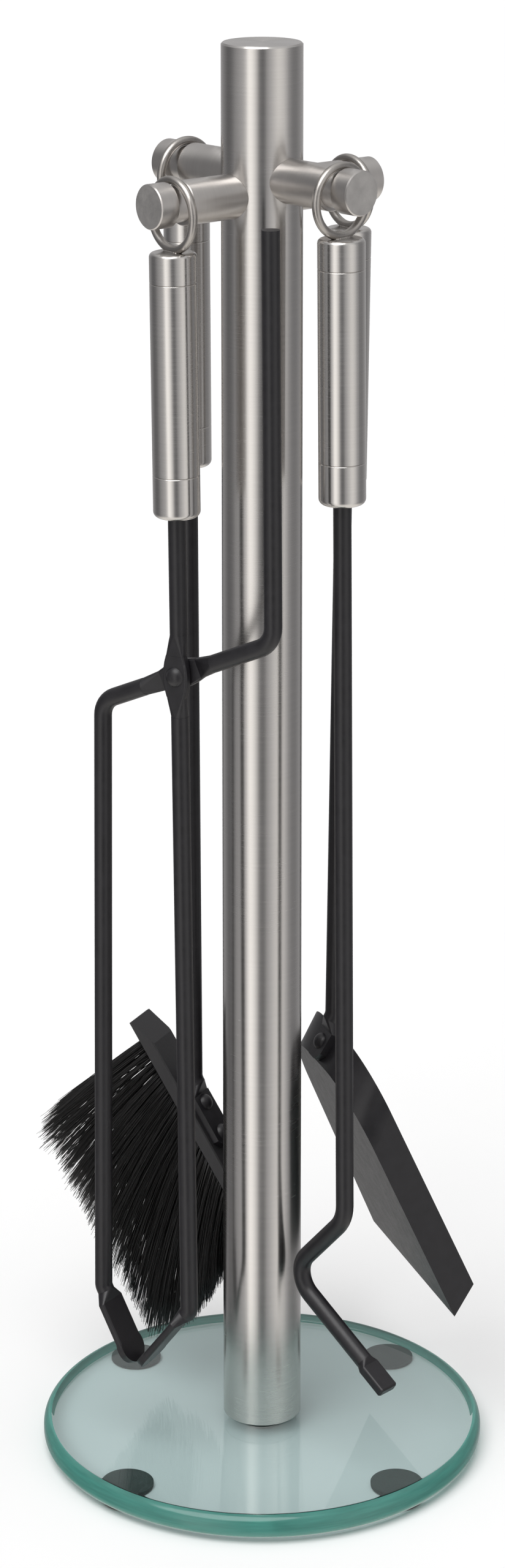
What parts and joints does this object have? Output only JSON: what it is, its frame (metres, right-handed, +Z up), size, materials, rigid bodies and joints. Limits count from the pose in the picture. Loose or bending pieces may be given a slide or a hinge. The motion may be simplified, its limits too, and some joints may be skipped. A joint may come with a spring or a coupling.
{
  "type": "fireplace tool set",
  "caption": "Free-standing fireplace tool set: a steel column on a round glass foot, with a poker, tongs, a shovel and a brush hung by rings from its pegs.",
  "frame": {"origin": "on the floor, under the column's axis", "axes": "+Z up the column; the front, where the thumb bar of the tongs hangs, faces -Y; +X to the right of someone facing it"},
  "size_m": [0.221, 0.216, 0.695],
  "materials": {
    "glass": "clear float glass, green at its rounded edge",
    "rubber": "dark grey, matt",
    "nylon": "natural nylon",
    "zinc_steel": "plain zinc-plated",
    "brushed_column": "stainless, brushed round the tube",
    "brushed_pegs": "stainless, turned and brushed",
    "brushed_grips": "stainless, brushed round the grip",
    "ring_wire": "stainless wire, satin",
    "black_steel": "black powder coat, satin",
    "black_block": "black, satin",
    "bristles": "long black bristles"
  },
  "bodies": {
    "stand": {"glass_base": "glass", "foot_pad_1": "rubber", "foot_pad_2": "rubber", "foot_pad_3": "rubber", "foot_pad_4": "rubber", "glass_bush": "nylon", "column_gasket": "rubber", "clamp_washer": "rubber", "clamp_screw": "zinc_steel", "column_plug": "zinc_steel", "column_tube": "brushed_column", "column_cap": "brushed_column", "peg_stud_upper": "zinc_steel", "peg_stud_lower": "zinc_steel", "poker_peg": "brushed_pegs", "brush_peg": "brushed_pegs", "tongs_peg": "brushed_pegs", "shovel_peg": "brushed_pegs"},
    "poker_peg_end": {"poker_peg_neck": "brushed_pegs", "poker_peg_head": "brushed_pegs"},
    "poker": {"poker_ring": "ring_wire", "poker_grip_cap": "brushed_grips", "poker_grip_tube": "brushed_grips", "poker_ferrule": "brushed_grips", "poker_rod": "black_steel"},
    "brush_peg_end": {"brush_peg_neck": "brushed_pegs", "brush_peg_head": "brushed_pegs"},
    "brush": {"brush_ring": "ring_wire", "brush_grip_cap": "brushed_grips", "brush_grip_tube": "brushed_grips", "brush_ferrule": "brushed_grips", "brush_rod": "black_steel", "brush_block": "black_block", "brush_pin_1": "black_steel", "brush_pin_2": "black_steel", "brush_bristles": "bristles"},
    "tongs_peg_end": {"tongs_peg_neck": "brushed_pegs", "tongs_peg_head": "brushed_pegs"},
    "tongs": {"tongs_ring": "ring_wire", "tongs_grip_cap": "brushed_grips", "tongs_grip_tube": "brushed_grips", "tongs_ferrule": "brushed_grips", "tongs_main_arm": "black_steel", "tongs_rivet": "black_steel"},
    "shovel_peg_end": {"shovel_peg_neck": "brushed_pegs", "shovel_peg_head": "brushed_pegs"},
    "shovel": {"shovel_ring": "ring_wire", "shovel_grip_cap": "brushed_grips", "shovel_grip_tube": "brushed_grips", "shovel_ferrule": "brushed_grips", "shovel_rod": "black_steel", "shovel_pan": "black_steel", "shovel_rivet": "black_steel"},
    "tongs_lever": {"tongs_lever_arm": "black_steel"}
  },
  "joints": [
    {"name": "poker_swing", "type": "hinge", "parent": "stand", "child": "poker_peg_end", "pos_m": [0.03577, -0.03705, 0.6325], "axis": [0.6947, -0.7193, 0], "range_deg": [-3, 3]},
    {"name": "poker_lift_off", "type": "slide", "parent": "poker_peg_end", "child": "poker", "axis": [0.5891, -0.61, 0.5299], "range_m": [0, 0.019]},
    {"name": "brush_swing", "type": "hinge", "parent": "stand", "child": "brush_peg_end", "pos_m": [-0.03577, 0.03705, 0.6325], "axis": [-0.6947, 0.7193, 0], "range_deg": [-3, 3]},
    {"name": "brush_lift_off", "type": "slide", "parent": "brush_peg_end", "child": "brush", "axis": [-0.5891, 0.61, 0.5299], "range_m": [0, 0.019]},
    {"name": "tongs_swing", "type": "hinge", "parent": "stand", "child": "tongs_peg_end", "pos_m": [-0.04086, -0.03135, 0.625], "axis": [-0.7934, -0.6088, 0], "range_deg": [-4, 4]},
    {"name": "tongs_lift_off", "type": "slide", "parent": "tongs_peg_end", "child": "tongs", "axis": [-0.6728, -0.5163, 0.5299], "range_m": [0, 0.019]},
    {"name": "shovel_swing", "type": "hinge", "parent": "stand", "child": "shovel_peg_end", "pos_m": [0.04086, 0.03135, 0.625], "axis": [0.7934, 0.6088, 0], "range_deg": [-3, 3]},
    {"name": "shovel_lift_off", "type": "slide", "parent": "shovel_peg_end", "child": "shovel", "axis": [0.6728, 0.5163, 0.5299], "range_m": [0, 0.019]},
    {"name": "tongs_open", "type": "hinge", "parent": "tongs", "child": "tongs_lever", "pos_m": [-0.03849, -0.03283, 0.40262], "axis": [0.5299, 0.848, 0], "range_deg": [0, 28]}
  ]
}
